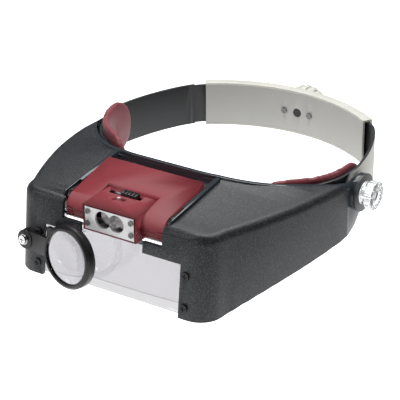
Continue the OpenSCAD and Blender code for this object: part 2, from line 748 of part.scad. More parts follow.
// Local frame of the head's top: y back along it, z up from it
module on_head() {
    translate([0, head_front_y, head_top_z]) rotate([head_slope, 0, 0]) children();
}
switch_slot_x0 = -13.8;
switch_slot_w = 4.9;
switch_y = 19.4;
slider_x = 0;
slider_w = switch_slot_w - 2 * run_gap;
slider_rise = 1.5;
slider_flange_t = 1.2;
module switch_slot() {
    on_head() box([switch_slot_x0, switch_y - switch_slot_w / 2, -2 * lamp_wall],
                  [switch_slot_x0 + switch_slot_l, switch_y + switch_slot_w / 2, past]);
}
// Hollow over the front cell, where the step down to the head comes close to it
module cell_trough() {
    in_lamp() rod_x(-contact_x, contact_x, cell_r + cell_room, cell_y0, 0);
}
module lamp_lid() {
    color(burgundy) about_head() {
        difference() {
            intersection() {
                hollow_casing();
                above_parting();
            }
            aim_slot();
            switch_slot();
            cell_trough();
        }
        bezel_posts(bezel_screw_high);
    }
}
rib_count = 5;
rib_turn = 12;
rib_first = 204;
rib_w = 0.8;
rib_l = 3.6;
door_y0 = 11;
door_y1 = lamp_len - 2;
door_half_w = 25;
door_axis_y = door_y1 + 0.2;
door_axis_z = -barrel_r - 0.4;
door_pin_r = 0.7;
door_knuckle_r = 1.6;
door_ear_w = 2.4;
door_pin_wall = 0.5;
module lamp_tray() {
    color(burgundy) about_head() {
        difference() {
            intersection() {
                hollow_casing();
                below_parting();
            }
            in_lamp() box([-door_half_w - run_gap, door_y0 - run_gap, -2 * barrel_r],
                          [door_half_w + run_gap, lamp_len + past, -barrel_r + lamp_wall + seat_gap]);
            in_lamp() both_sides() door_pin_bore();
        }
        bezel_posts(bezel_screw_low);
        both_sides() {
            in_lamp() trunnion();
            in_lamp() door_ear();
        }
    }
}
module door_ear() {
    x0 = door_half_w + run_gap;
    difference() {
        union() {
            box([x0, door_axis_y - door_knuckle_r, -barrel_r],
                [x0 + door_ear_w, lamp_len, -barrel_r + lamp_wall]);
            rod_x(x0, x0 + door_ear_w, door_knuckle_r, door_axis_y, door_axis_z);
        }
        door_pin_bore();
    }
}
module door_pin_bore() {
    rod_x(door_half_w, door_half_w + run_gap + door_ear_w - door_pin_wall, door_pin_r + pin_gap,
          door_axis_y, door_axis_z);
}
// Each trunnion grows out of the tray's end wall and passes in front of the lid's
module trunnion() {
    tip = clip_x + clip_t - 0.2;
    intersection() {
        rod_x(lamp_half_w - lamp_wall / 2, tip, trunnion_r, 0, 0);
        box([0, -far, -far], [far, far, parting - seat_gap / 2]);
    }
    rod_x(lamp_half_w + seat_gap, tip, trunnion_r, 0, 0);
}
// Grip ribs round the ends of the barrel, just below the parting line
module barrel_ribs() {
    in_lamp() for (i = [0 : rib_count - 1]) rotate([-rib_first + 180 - rib_turn * -i, 0, 0])
        box([lamp_half_w - rib_l, -barrel_r - 0.3, -rib_w / 2], [lamp_half_w, -barrel_r + 0.5, rib_w / 2]);
}
module battery_door() {
    latch_w = 6;
    color(burgundy) about_head() in_lamp() difference() {
        union() {
            box([-door_half_w, door_y0, -barrel_r], [door_half_w, door_y1, -barrel_r + lamp_wall]);
            rod_x(-door_half_w, door_half_w, door_knuckle_r, door_axis_y, door_axis_z);
            box([-latch_w / 2, door_y0, -barrel_r - 0.7], [latch_w / 2, door_y0 + 1.2, -barrel_r + past]);
        }
        rod_x(-door_half_w - past, door_half_w + past, door_pin_r + pin_gap, door_axis_y, door_axis_z);
    }
}
module door_hinge_pin() {
    reach = door_half_w + run_gap + door_ear_w - door_pin_wall - seat_gap;
    color(steel) about_head() in_lamp() rod_x(-reach, reach, door_pin_r, door_axis_y, door_axis_z);
}
cell_room = 0.2;
cell_pitch = 2 * cell_r + cell_room;
cell_y0 = lamp_len - lamp_wall - 0.1 - cell_r - cell_pitch;
contact_t = 0.5;
contact_x = lamp_half_w - lamp_wall - contact_t - 0.1;
contact_h = 7;
contact_w = 6;
cell_tip_r = 2.6;
cell_tip_l = 1.2;
cell_shift = contact_x - cell_len / 2 - seat_gap;
module battery_cells() {
    color(silver) about_head() in_lamp() for (row = [0, 1]) mirror([row, 0, 0])
        translate([cell_shift, 0, 0]) {
            rod_x(-cell_len / 2, cell_len / 2 - cell_tip_l, cell_r, cell_y0 + row * cell_pitch, 0);
            rod_x(-cell_len / 2 + past, cell_len / 2, cell_tip_r, cell_y0 + row * cell_pitch, 0);
        }
}
// One plate bridges both cells on the right, two single plates end them on the left
module battery_contacts() {
    color(brass) about_head() in_lamp() {
        box([contact_x, cell_y0 - contact_w / 2, -contact_h / 2],
            [contact_x + contact_t, cell_y0 + cell_pitch + contact_w / 2, contact_h / 2]);
        for (row = [0, 1])
            box([-contact_x - contact_t, cell_y0 + row * cell_pitch - contact_w / 2, -contact_h / 2],
                [-contact_x, cell_y0 + row * cell_pitch + contact_w / 2, contact_h / 2]);
    }
}
spring_wire_r = 0.3;
spring_end_r = 3.2;
spring_top_r = 1.9;
spring_turns = 4;
spring_rings = 8;
module battery_springs() {
    free_l = 2 * contact_x - cell_len;
    color(steel) about_head() in_lamp() for (row = [0, 1]) mirror([row, 0, 0])
        translate([-contact_x + spring_wire_r + 0.1, cell_y0 + row * cell_pitch, 0])
            spring(free_l - 2 * spring_wire_r - 0.3);
}
// A conical spring along X, of six-sided wire
module spring(l) {
    n = spring_turns * spring_rings;
    loft([for (i = [0 : n])
        let (t = i / n,
             a = 360 * i / spring_rings,
             r = spring_end_r + (spring_top_r - spring_end_r) * t,
             out = [0, cos(a), sin(a)])
        [for (k = [0 : 5])
            [l * t, 0, 0] + r * out + spring_wire_r * (cos(60 * k) * out - sin(60 * k) * [1, 0, 0])]]);
}
module lamp_bezel() {
    color(silver) about_head() difference() {
        box([-bezel_half_w, bezel_y0, bezel_low_z], [bezel_half_w, bezel_y1, bezel_top_z]);
        both_sides() {
            rod_y(bezel_y0 - past, bezel_y1 + past, cup_r, cup_gap / 2, cup_z);
            for (z = [bezel_screw_low, bezel_screw_high])
                rod_y(bezel_y0 - past, bezel_y1 + past, bezel_screw_r + pin_gap, bezel_screw_x, z);
        }
    }
}
module bezel_screws() {
    head_r = 2 * bezel_screw_r;
    head_t = 0.7;
    color(steel) about_head() both_sides() for (z = [bezel_screw_low, bezel_screw_high])
        translate([bezel_screw_x, bezel_y0 - seat_gap, z]) difference() {
            union() {
                rod_y(-head_t, 0, head_r, 0, 0);
                rod_y(-head_t / 2, bezel_t + bezel_post_l - 0.6, bezel_screw_r, 0, 0);
            }
            translate([0, -head_t, 0]) screw_slot(head_r, head_t / 2);
        }
}
bulb_r = 1.5;
bulb_cap_r = 1.7;
bulb_back_y = cup_front_y + cup_depth - 0.4;
// Twin reflector cups in one casting, on a turning foot, with a tail that holds the pin
module reflector_unit() {
    back_y = cup_front_y + cup_depth;
    outer_r = cup_r - 0.05;
    floor_z = head_low_z + lamp_wall + 0.2;
    color(silver) about_head() difference() {
        union() {
            both_sides() rod_y(cup_front_y, back_y, outer_r, cup_gap / 2, cup_z);
            box([-cup_gap / 2, cup_front_y + 1, cup_z - outer_r],
                [cup_gap / 2, back_y, cup_z + outer_r - 0.6]);
            translate([aim_axis[0], aim_axis[1], floor_z])
                cylinder(h = cup_z - outer_r - floor_z + 0.3, r = 3);
            translate([aim_pin_at[0], aim_pin_at[1], cup_z - 2]) cylinder(h = 5, r = aim_pin_r + 0.9);
            box([aim_pin_at[0] - 1.6, back_y - 1.5, cup_z - 2],
                [aim_pin_at[0] + 1.6, aim_pin_at[1], cup_z + 3]);
        }
        both_sides() translate([cup_gap / 2, cup_front_y, cup_z]) rotate([-90, 0, 0]) cup_hollow();
        both_sides() rod_y(cup_front_y, back_y + past, bulb_cap_r + pin_gap, cup_gap / 2, cup_z);
        translate([aim_pin_at[0], aim_pin_at[1], cup_z - 1])
            cylinder(h = 2 * far, r = aim_pin_r + pin_gap / 2);
    }
}
cup_steps = 8;
module cup_hollow() {
    mouth = cup_r - cup_wall;
    depth = cup_depth - 1.6;
    rotate_extrude() polygon(concat([[0, -past], [mouth, -past]],
        [for (i = [0 : cup_steps]) let (t = i / cup_steps) [mouth * sqrt(1 - t * 0.9), depth * t]],
        [[0, depth]]));
}
module lamp_bulbs() {
    dome_y = cup_front_y + 2.2;
    color(clear) about_head() both_sides() translate([cup_gap / 2, 0, cup_z]) {
        rod_y(dome_y + bulb_r, bulb_back_y - 1, bulb_r, 0, 0);
        translate([0, dome_y + bulb_r, 0]) sphere(r = bulb_r);
        rod_y(bulb_back_y - 1.6, bulb_back_y, bulb_cap_r, 0, 0);
    }
}
module aiming_pin() {
    z0 = cup_z - 1 + seat_gap;
    color(silver) about_head() translate([aim_pin_at[0], aim_pin_at[1], 0]) {
        translate([0, 0, z0]) cylinder(h = head_top_at(aim_pin_at[1]) + 0.9 - z0, r = aim_pin_r);
    }
}
module switch_slider() {
    notch_count = 4;
    notch_w = 0.8;
    top_z = slider_rise;
    color(black) about_head() on_head() translate([slider_x, switch_y, 0]) difference() {
        union() {
            box([-slider_l / 2, -slider_w / 2, -lamp_wall - 0.5], [slider_l / 2, slider_w / 2, top_z]);
            box([-slider_l / 2, -slider_w / 2 - 1.1, -lamp_wall - 0.25 - slider_flange_t],
                [slider_l / 2, slider_w / 2, -lamp_wall - 0.25]);
        }
        for (i = [0 : notch_count - 1])
            translate([(i - (notch_count - 1) / 2) * 2 * notch_w * 1.25, 0, 0])
                box([-notch_w / 2, -slider_w, top_z - 0.6], [notch_w / 2, slider_w, top_z + past]);
    }
}
module switch_body() {
    body_h = 3.4;
    top = -lamp_wall - 0.25 - slider_flange_t - 0.15;
    half_l = switch_slot_l / 2 + 2;
    color(dark_grey) about_head() on_head() translate([switch_slot_x0 + switch_slot_l / 2, switch_y, 0])
        box([-half_l, -slider_w / 2 - 1.1, top - body_h], [half_l, slider_w / 2 - 0.4, top]);
}

clip_screw_at = [clip_x + clip_t + clip_foot_w / 2, 17];
clip_screw_r = 0.9;
clip_low_z = lamp_z - 5.3;
clip_foot_half_l = 5;
module lamp_clip() {
    color(black) about_head() difference() {
        union() {
            prism_x(clip_x, clip_x + clip_t,
                    [[clip_y0 + 1.5, clip_low_z], [clip_y1 - 4, clip_low_z], [clip_y1, lamp_z - 0.3],
                     [clip_y1, clip_top_z], [clip_y0 + 4, clip_top_z], [clip_y0 + 1.5, clip_top_z - 2.5]]);
            box([clip_x + clip_t / 2, clip_screw_at[1] - clip_foot_half_l, clip_foot_z - clip_foot_t],
                [clip_x + clip_t + clip_foot_w, clip_y1, clip_foot_z]);
        }
        rod_x(clip_x - past, clip_x + clip_t + past, trunnion_r + pin_gap, lamp_y, lamp_z);
        translate([clip_screw_at[0], clip_screw_at[1], clip_foot_z - far / 2])
            cylinder(h = far, r = clip_screw_r + pin_gap);
    }
}
module right_lamp_clip() { lamp_clip(); }
module left_lamp_clip() { mirror([1, 0, 0]) lamp_clip(); }
clip_screw_bite = 1.5;
clip_screw_head_t = 1;
module lamp_clip_screws() {
    color(steel) about_head() both_sides() translate([clip_screw_at[0], clip_screw_at[1], 0]) {
        translate([0, 0, clip_foot_z - clip_foot_t - clip_screw_head_t - seat_gap])
            cylinder(h = clip_screw_head_t, r = 2 * clip_screw_r);
        translate([0, 0, clip_foot_z - clip_foot_t - clip_screw_head_t / 2])
            cylinder(h = clip_foot_t + clip_screw_head_t / 2 + clip_screw_bite, r = clip_screw_r);
    }
}

// Forehead band in plan: a wide arc in front, a tighter arc at each temple, straight past the pivots.
// band_at(s) is the point of its outer face at the length s from the middle, on the right.
temple_r = (band_out_x - forehead_r * sin(forehead_turn)) / (1 - sin(forehead_turn));
temple_c = [(forehead_r - temple_r) * sin(forehead_turn),
            band_front_y + forehead_r - (forehead_r - temple_r) * cos(forehead_turn)];
front_l = forehead_r * forehead_turn * PI / 180;
temple_l = temple_r * (90 - forehead_turn) * PI / 180;
band_end_y = pivot_y + band_h / 2;
band_half_l = front_l + temple_l + band_end_y - temple_c[1];
function band_turn(s) =
    s < front_l ? s / forehead_r * 180 / PI
                : min(90, forehead_turn + (s - front_l) / temple_r * 180 / PI);
function band_at(s) =
    let (a = band_turn(s))
    s < front_l ? [forehead_r * sin(a), band_front_y + forehead_r * (1 - cos(a))]
                : temple_c + temple_r * [sin(a), -cos(a)] + [0, max(0, s - front_l - temple_l)];
function band_in(s) = let (a = band_turn(s)) [-sin(a), cos(a)];
band_steps = 28;
band_right = [for (i = [0 : band_steps]) band_at(band_half_l * i / band_steps)];
band_path = concat([for (i = [band_steps : -1 : 1]) [-band_right[i][0], band_right[i][1]]], band_right);
band_boss_r = 6;
band_room = 0.35;
bolt_head_r = 4.2;
bolt_head_t = 1.2;
bolt_head_x1 = band_in_x + bolt_head_t;
module forehead_band() {
    color(dark_grey) about_head() difference() {
        union() {
            difference() {
                ribbon(band_path, 0, band_t, band_z - band_h / 2, band_z + band_h / 2);
                both_sides() strap_side_cut(band_room);
                both_sides() round_end(band_in_x, strap_in_x, pivot_y, band_end_y + past, band_h / 2);
            }
            both_sides() difference() {
                rod_x(band_out_x - band_t / 2, strap_in_x, band_boss_r, pivot_y, pivot_z);
                strap_side_cut(seat_gap);
            }
        }
        both_sides() rod_x(band_in_x - past, strap_out_x, bolt_r + pin_gap, pivot_y, pivot_z);
        both_sides() rod_x(band_in_x - past, bolt_head_x1, bolt_head_r + pin_gap, pivot_y, pivot_z);
    }
}
// The straps bend in behind the pivots, and the band and its bosses leave them this gap
module strap_side_cut(gap) {
    ribbon(concat([[strap_mid_x, strap_start_y]], sweep(layer_r(0))), -2 * strap_t, strap_t / 2 + gap,
           band_z - strap_h, band_z + strap_h);
}
// What is cut between x0 and x1, y0 and y1 to leave an end of the radius r about the pivot
module round_end(x0, x1, y0, y1, r) {
    difference() {
        box([x0 - past, y0, pivot_z - 2 * r], [x1 + past, y1, pivot_z + 2 * r]);
        rod_x(x0 - 2 * past, x1 + 2 * past, r, pivot_y, band_z);
    }
}

// Rack strap in plan: straight at the pivot, a sweep to the sleeve's mouth, then along the sleeve.
// layer 0 lies on the sleeve's inner wall, layer 1 behind it.
sleeve_y = band_front_y + band_t + loop_len - sleeve_r;
layer_gap = 0.15;
function layer_r(layer) = sleeve_r + sleeve_wall + layer_gap + strap_t / 2 + layer * (strap_t + layer_gap);
channel_r = layer_r(1) + strap_t / 2 + layer_gap;
strap_start_y = pivot_y - strap_h / 2;
strap_bend_y = pivot_y - 5.6;
strap_mid_x = strap_out_x - strap_t / 2;
mouth_angle = sleeve_half_angle + 0.6;
tail_angle = 27.5;
slot_angle_own = 14;
slot_angle_far = 24;
slot_half_h = pinion_r + 1.1;
tail_h = strap_h - 1.2;
function sleeve_at(r, a) = [r * sin(a), sleeve_y + r * cos(a)];
function bezier(p, t) =
    pow(1 - t, 3) * p[0] + 3 * t * pow(1 - t, 2) * p[1] + 3 * t * t * (1 - t) * p[2] + pow(t, 3) * p[3];
sweep_steps = 16;
sweep_out = 22;
sweep_back = 14;
function sweep(r) =
    let (p0 = [strap_mid_x, strap_bend_y],
         p3 = sleeve_at(r, mouth_angle),
         p = [p0, p0 + [0, sweep_out], p3 + sweep_back * [cos(mouth_angle), -sin(mouth_angle)], p3])
    [for (i = [0 : sweep_steps]) bezier(p, i / sweep_steps)];
function tail(r) =
    [for (i = [1 : sweep_steps])
        sleeve_at(r, mouth_angle - (mouth_angle + tail_angle) * i / sweep_steps)];
pinion_teeth = 8;
rack_pitch = 2 * PI * pinion_r / pinion_teeth;
rack_count = 12;
tooth_h = 1.9;
module rack_tooth(root_w, tip_w, h) {
    polygon([[-root_w / 2, 0], [root_w / 2, 0], [tip_w / 2, h], [-tip_w / 2, h]]);
}
// The right-hand strap; up is 1 where the teeth stand on the slot's upper edge, -1 on its lower
module rack_strap(layer, up) {
    r = layer_r(layer);
    wide = concat([[strap_mid_x, strap_start_y]], [for (p = sweep(r)) p]);
    narrow_from = sweep_steps - 2;
    step_angle = rack_pitch / r * 180 / PI;
    color(dark_grey) about_head() {
        difference() {
            union() {
                ribbon([for (i = [0 : narrow_from + 1]) wide[i]], -strap_t / 2, strap_t / 2,
                       band_z - strap_h / 2, band_z + strap_h / 2);
                ribbon(concat([for (i = [narrow_from : sweep_steps + 1]) wide[i]], tail(r)),
                       -strap_t / 2, strap_t / 2, band_z - tail_h / 2, band_z + tail_h / 2);
            }
            rod_x(strap_in_x - past, strap_out_x + past, bolt_r + pin_gap, pivot_y, pivot_z);
            round_end(strap_in_x, strap_out_x, strap_start_y - past, pivot_y, strap_h / 2);
            translate([0, sleeve_y, band_z - slot_half_h]) rotate([0, 0, 90 - slot_angle_own])
                rotate_extrude(angle = slot_angle_own + slot_angle_far)
                    translate([r - strap_t, 0]) square([2 * strap_t, 2 * slot_half_h]);
        }
        for (i = [0 : rack_count - 1])
            translate([0, sleeve_y, band_z]) rotate([0, 0, (i - rack_count / 2 + 0.5) * step_angle])
                translate([0, r + strap_t / 2 - 0.02, up * (slot_half_h + 0.1)]) rotate([90, 0, 0])
                    linear_extrude(height = strap_t - 0.04) mirror([0, up > 0 ? 1 : 0])
                        rack_tooth(2, 0.8, tooth_h + 0.1);
    }
}
module right_rack_strap() { rack_strap(1, -1); }
module left_rack_strap() { mirror([1, 0, 0]) rack_strap(0, 1); }

// Pads: crowned cushions with drawn-in sides, on the inside of the forehead band. Each ring has
// the share of the thickness at which it lies and its inset from the pad's outline.
pad_overhang = 1.2;
pad_s = band_half_l + pad_overhang - pad_l / 2;
pad_rings = [[0, 1], [0.22, 0.25], [0.45, 0], [0.66, 0.5], [0.83, 1.9], [0.94, 4.6], [0.99, 8.5], [1, 12.5]];
pad_end_steps = 6;
pad_side_steps = 8;
// Upper half of a pad's outline from front to rear, at the given inset
function pad_top(inset) =
    let (v = pad_h / 2 - inset, r = pad_end_r * v / (pad_h / 2), u = pad_l / 2 - inset - r)
    concat([for (i = [0 : pad_end_steps])
               let (a = 90 * i / pad_end_steps) [-u - r * cos(a), v - r + r * sin(a)]],
           [for (i = [1 : pad_side_steps - 1]) [-u + 2 * u * i / pad_side_steps, v]],
           [for (i = [pad_end_steps : -1 : 0])
               let (a = 90 * i / pad_end_steps) [u + r * cos(a), v - r + r * sin(a)]]);
function pad_point(u, v, h) =
    let (s = pad_s + u, p = band_at(s) + (band_t + seat_gap + h) * band_in(s))
    [p[0], p[1], band_z + v];
module pad(slide, rise) {
    color(burgundy) about_head() loft([for (ring = pad_rings)
        let (top = pad_top(ring[1]), low = [for (p = reversed(top)) [p[0], -p[1]]])
        [for (p = concat(top, low)) pad_point(p[0] + slide, p[1] + rise, pad_t * ring[0])]],
        bent_ends = true);
}
module right_pad() { pad(pad_slide, -pad_shift); }
module left_pad() { mirror([1, 0, 0]) pad(-pad_slide, pad_shift); }

hub_face_x = arm_half_w + hub_t;
washer_x1 = hub_face_x + seat_gap + washer_t;
knob_collar_t = 3.4;
knob_collar_r = 6.5;
knob_x0 = washer_x1 + seat_gap;
knob_x1 = knob_x0 + knob_t;
bolt_bite = knob_t - 2;
rivet_head_r = 4.8;
rivet_head_t = 1;
// A bolt for the knob on the right, a plain rivet with a flat head on the left
module pivot_pins() {
    rivet_x1 = arm_half_w + seat_gap + rivet_head_t;
    color(steel) about_head() {
        both_sides() rod_x(band_in_x + seat_gap, bolt_head_x1 - seat_gap, bolt_head_r, pivot_y, pivot_z);
        rod_x(bolt_head_x1 - 2 * seat_gap, knob_x0 + bolt_bite, bolt_r, pivot_y, pivot_z);
        mirror([1, 0, 0]) {
            rod_x(bolt_head_x1 - 2 * seat_gap, rivet_x1 - rivet_head_t / 2, bolt_r, pivot_y, pivot_z);
            rod_x(rivet_x1 - rivet_head_t, rivet_x1, rivet_head_r, pivot_y, pivot_z);
        }
    }
}
module pivot_washer() {
    color(grey) about_head() difference() {
        rod_x(hub_face_x + seat_gap, washer_x1, washer_r, pivot_y, pivot_z);
        rod_x(hub_face_x - past, washer_x1 + past, bolt_r + pin_gap, pivot_y, pivot_z);
    }
}
module side_knob() {
    flute_r = 1;
    flute_at = knob_r + flute_r * 0.35;
    recess_r = 4.4;
    recess_depth = 1.2;
    color(clear) about_head() difference() {
        union() {
            rod_x(knob_x0, knob_x1, knob_collar_r, pivot_y, pivot_z);
            rod_x(knob_x0 + knob_collar_t, knob_x1, knob_r, pivot_y, pivot_z);
        }
        for (i = [0 : knob_flutes - 1])
            let (a = 360 * i / knob_flutes)
                rod_x(knob_x0 - past, knob_x1 + past, flute_r,
                      pivot_y + flute_at * cos(a), pivot_z + flute_at * sin(a));
        rod_x(knob_x1 - recess_depth, knob_x1 + past, recess_r, pivot_y, pivot_z);
        rod_x(knob_x0 - past, knob_x0 + bolt_bite + seat_gap, bolt_r + pin_gap, pivot_y, pivot_z);
    }
}

// Rear sleeve: a channel bent to the head, with a flat inner cover
sleeve_in_h = tail_h + 2 * run_gap;
sleeve_h = sleeve_in_h + 2 * sleeve_wall;
sleeve_out_r = channel_r + sleeve_wall;
sleeve_screw_angle = 5.5;
sleeve_screw_r = 0.9;
sleeve_post_r = 1.7;
axle_front_r = 2.7;
axle_back_r = 3;
module sleeve_sector(r0, r1, half_h, half_a) {
    translate([0, sleeve_y, band_z - half_h]) rotate([0, 0, 90 - half_a])
        rotate_extrude(angle = 2 * half_a) translate([r0, 0]) square([r1 - r0, 2 * half_h]);
}
module sleeve_rod(r0, r1, r, a) {
    translate([0, sleeve_y, band_z]) rotate([0, 0, a]) rod_y(r0, r1, r, 0, 0);
}
module sleeve_inner() {
    color(grey) about_head() difference() {
        sleeve_sector(sleeve_r, sleeve_r + sleeve_wall, sleeve_in_h / 2 - seat_gap, sleeve_half_angle);
        sleeve_rod(sleeve_r - past, channel_r, axle_front_r + pin_gap, 0);
        for (side = [-1, 1])
            sleeve_rod(sleeve_r - past, channel_r, sleeve_screw_r + pin_gap, side * sleeve_screw_angle);
    }
}
module sleeve_outer() {
    color(grey) about_head() difference() {
        union() {
            difference() {
                sleeve_sector(sleeve_r, sleeve_out_r, sleeve_h / 2, sleeve_half_angle);
                sleeve_sector(sleeve_r - past, channel_r, sleeve_in_h / 2, sleeve_half_angle + past);
            }
            for (side = [-1, 1])
                sleeve_rod(sleeve_r + sleeve_wall + seat_gap, channel_r + sleeve_wall / 2, sleeve_post_r,
                           side * sleeve_screw_angle);
        }
        sleeve_rod(channel_r - past, sleeve_out_r + past, axle_back_r + pin_gap, 0);
        for (side = [-1, 1])
            sleeve_rod(sleeve_r, channel_r - 0.5, sleeve_screw_r + pin_gap / 2, side * sleeve_screw_angle);
    }
}
module sleeve_screws() {
    head_t = 0.8;
    color(steel) about_head() for (side = [-1, 1]) {
        turn = side * sleeve_screw_angle;
        sleeve_rod(sleeve_r - seat_gap - head_t, sleeve_r - seat_gap, 2 * sleeve_screw_r, turn);
        sleeve_rod(sleeve_r - seat_gap - head_t / 2, channel_r - 1, sleeve_screw_r, turn);
    }
}
knob_gap = 0.4;
axle_bite = 6;
size_knob_y0 = sleeve_y + sleeve_out_r + knob_gap;
module size_knob() {
    flute_r = 1.1;
    rim_drop = 1.5;
    y1 = size_knob_y0 + rear_knob_t;
    color(grey) about_head() difference() {
        union() {
            rod_y(size_knob_y0, y1 - rim_drop, rear_knob_r, 0, band_z);
            rod_y(size_knob_y0, y1, rear_knob_r - rim_drop, 0, band_z);
        }
        for (i = [0 : rear_knob_flutes - 1])
            let (a = 360 * i / rear_knob_flutes)
                rod_y(size_knob_y0 - past, y1 + past, flute_r, (rear_knob_r + flute_r * 0.3) * cos(a),
                      band_z + (rear_knob_r + flute_r * 0.3) * sin(a));
        rod_y(size_knob_y0 - past, size_knob_y0 + axle_bite, axle_back_r + pin_gap / 2, 0, band_z);
    }
}
pinion_root_r = pinion_r - 1.1;
pinion_tip_r = pinion_r + 0.9;
module size_pinion() {
    y0 = sleeve_y + sleeve_r + sleeve_wall + seat_gap;
    y1 = sleeve_y + sqrt(channel_r * channel_r - pinion_tip_r * pinion_tip_r) - seat_gap;
    color(silver) about_head() {
        rod_y(y0, y1, pinion_root_r, 0, band_z);
        translate([0, y1, band_z]) rotate([90, 0, 0]) linear_extrude(height = y1 - y0)
            for (i = [0 : pinion_teeth - 1]) rotate([0, 0, 90 + 360 * i / pinion_teeth])
                polygon([[pinion_root_r - 0.4, -1], [pinion_r, -0.75], [pinion_tip_r, -0.4],
                         [pinion_tip_r, 0.4], [pinion_r, 0.75], [pinion_root_r - 0.4, 1]]);
        rod_y(y0 - sleeve_wall, y0 + past, axle_front_r, 0, band_z);
        rod_y(y1 - past, size_knob_y0 + axle_bite - seat_gap, axle_back_r, 0, band_z);
    }
}

visor_housing();
main_lens();
lens_screws();
lens_nuts();
flip_lens();
flip_hinge_rod();
loupe_frame();
loupe_lens();
loupe_retaining_ring();
loupe_pivot_screw();
loupe_washer();
loupe_nut();
lamp_lid();
lamp_tray();
battery_door();
door_hinge_pin();
battery_cells();
battery_contacts();
battery_springs();
lamp_bezel();
bezel_screws();
reflector_unit();
lamp_bulbs();
aiming_pin();
switch_slider();
switch_body();
left_lamp_clip();
right_lamp_clip();
lamp_clip_screws();
forehead_band();
left_rack_strap();
right_rack_strap();
left_pad();
right_pad();
pivot_pins();
pivot_washer();
side_knob();
sleeve_inner();
sleeve_outer();
sleeve_screws();
size_knob();
size_pinion();
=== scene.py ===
# %% [markdown]
# # A lighted headband magnifier
# This notebook dresses a headband magnifier whose construction is already settled: every rigid
# piece arrives as a named node, in metres, in one frame. The origin is the middle of the head
# loop, +Z is up, and the wearer looks along -Y. Here each piece gets its surface, the two
# forehead pads become soft cushions, and the two straps get rounded edges.

# %% The frame
import json
import math

import bmesh
import bpy
from mathutils import Matrix, Vector


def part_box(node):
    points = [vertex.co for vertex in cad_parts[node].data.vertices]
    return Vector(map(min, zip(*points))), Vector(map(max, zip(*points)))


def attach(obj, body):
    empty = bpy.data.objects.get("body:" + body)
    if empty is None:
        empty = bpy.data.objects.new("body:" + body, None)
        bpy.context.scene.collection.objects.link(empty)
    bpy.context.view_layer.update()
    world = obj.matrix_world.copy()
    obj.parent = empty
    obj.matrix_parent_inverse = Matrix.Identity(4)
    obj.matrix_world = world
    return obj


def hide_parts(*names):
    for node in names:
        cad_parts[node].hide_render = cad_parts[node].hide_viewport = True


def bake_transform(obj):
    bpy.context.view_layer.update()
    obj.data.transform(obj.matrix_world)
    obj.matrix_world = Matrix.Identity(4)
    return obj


MM = 0.001
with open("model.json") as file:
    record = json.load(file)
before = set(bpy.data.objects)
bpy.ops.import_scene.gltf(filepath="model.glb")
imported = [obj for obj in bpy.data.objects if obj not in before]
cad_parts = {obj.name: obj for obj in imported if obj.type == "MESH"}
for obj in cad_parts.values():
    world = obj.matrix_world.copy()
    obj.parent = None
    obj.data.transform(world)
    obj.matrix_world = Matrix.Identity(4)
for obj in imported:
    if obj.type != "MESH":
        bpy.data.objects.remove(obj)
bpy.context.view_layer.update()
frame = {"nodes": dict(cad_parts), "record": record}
nodes = frame["nodes"]
body_of_node = {n: b for b, members in frame["record"]["behaviour"]["bodies"].items() for n in members}
slot_of_node = {s["node"]: s["material_slot"] for s in frame["record"]["subparts"]}

# %% [markdown]
# ## Camera
# The view was found by fitting a camera to the visible corners of the window, the loop and the
# loupe. A long lens keeps the near visor from swelling. The image is square, so the sensor's
# width and the focal length in pixels give the lens in millimetres.

# %% Camera
IMAGE_PX = 400
FOCAL_PX = 1687.0
SENSOR_MM = 36.0
EYE = Vector((0.4578, -0.7431, 0.3916))
AZIMUTH = math.radians(33.09)
ELEVATION = math.radians(25.83)
ROLL = math.radians(-0.24)


def camera_turn(azimuth, elevation, roll):
    """The turn of a camera that looks back at the origin's side from that azimuth and elevation."""
    back = Vector((math.sin(azimuth) * math.cos(elevation),
                   -math.cos(azimuth) * math.cos(elevation),
                   math.sin(elevation)))
    level = Vector((math.cos(azimuth), math.sin(azimuth), 0))
    upright = back.cross(level)
    right = level * math.cos(roll) + upright * math.sin(roll)
    up = upright * math.cos(roll) - level * math.sin(roll)
    return Matrix((right, up, back)).transposed()


camera_data = bpy.data.cameras.new("studio_camera")
camera_data.sensor_width = SENSOR_MM
camera_data.lens = SENSOR_MM * FOCAL_PX / IMAGE_PX
camera = bpy.data.objects.new("studio_camera", camera_data)
camera.matrix_world = Matrix.Translation(EYE) @ camera_turn(AZIMUTH, ELEVATION, ROLL).to_4x4()
bpy.context.scene.collection.objects.link(camera)
bpy.context.scene.camera = camera
print("lens:", round(camera_data.lens, 1), "mm")

# %% [markdown]
# ## Floor and light
# The object is worn on a head, so it stands on nothing. The floor lies well below it, wide and
# pale, and glows until it turns white where it is seen directly. A pale room lights the object
# from all sides. Seen directly or through a lens the room is white, as a studio's backdrop is.
# The light that floor and room cast is weaker than that: a light path node tells the rays that
# are seen from the rest. Three soft boxes add shape: one overhead and behind, which draws the
# light ridges, one in front, and a small low one that leaves a small highlight.

# %% Floor and light
FLOOR_Z = -0.30
FLOOR_GLOW = 0.65
FLOOR_SEEN = 1.1
FLOOR_SIZE = 12.0
FLOOR_COLOUR = (0.93, 0.93, 0.93, 1)
FLOOR_ROUGHNESS, FLOOR_SPECULAR = 0.8, 0.1
ROOM_LOW, ROOM_HIGH = 0.02, 0.09
ROOM_LOW_AT, ROOM_HIGH_AT = -0.3, 0.9
ROOM_SEEN = 1.1
LIGHTS_AIM = Vector((0, -0.05, 0))


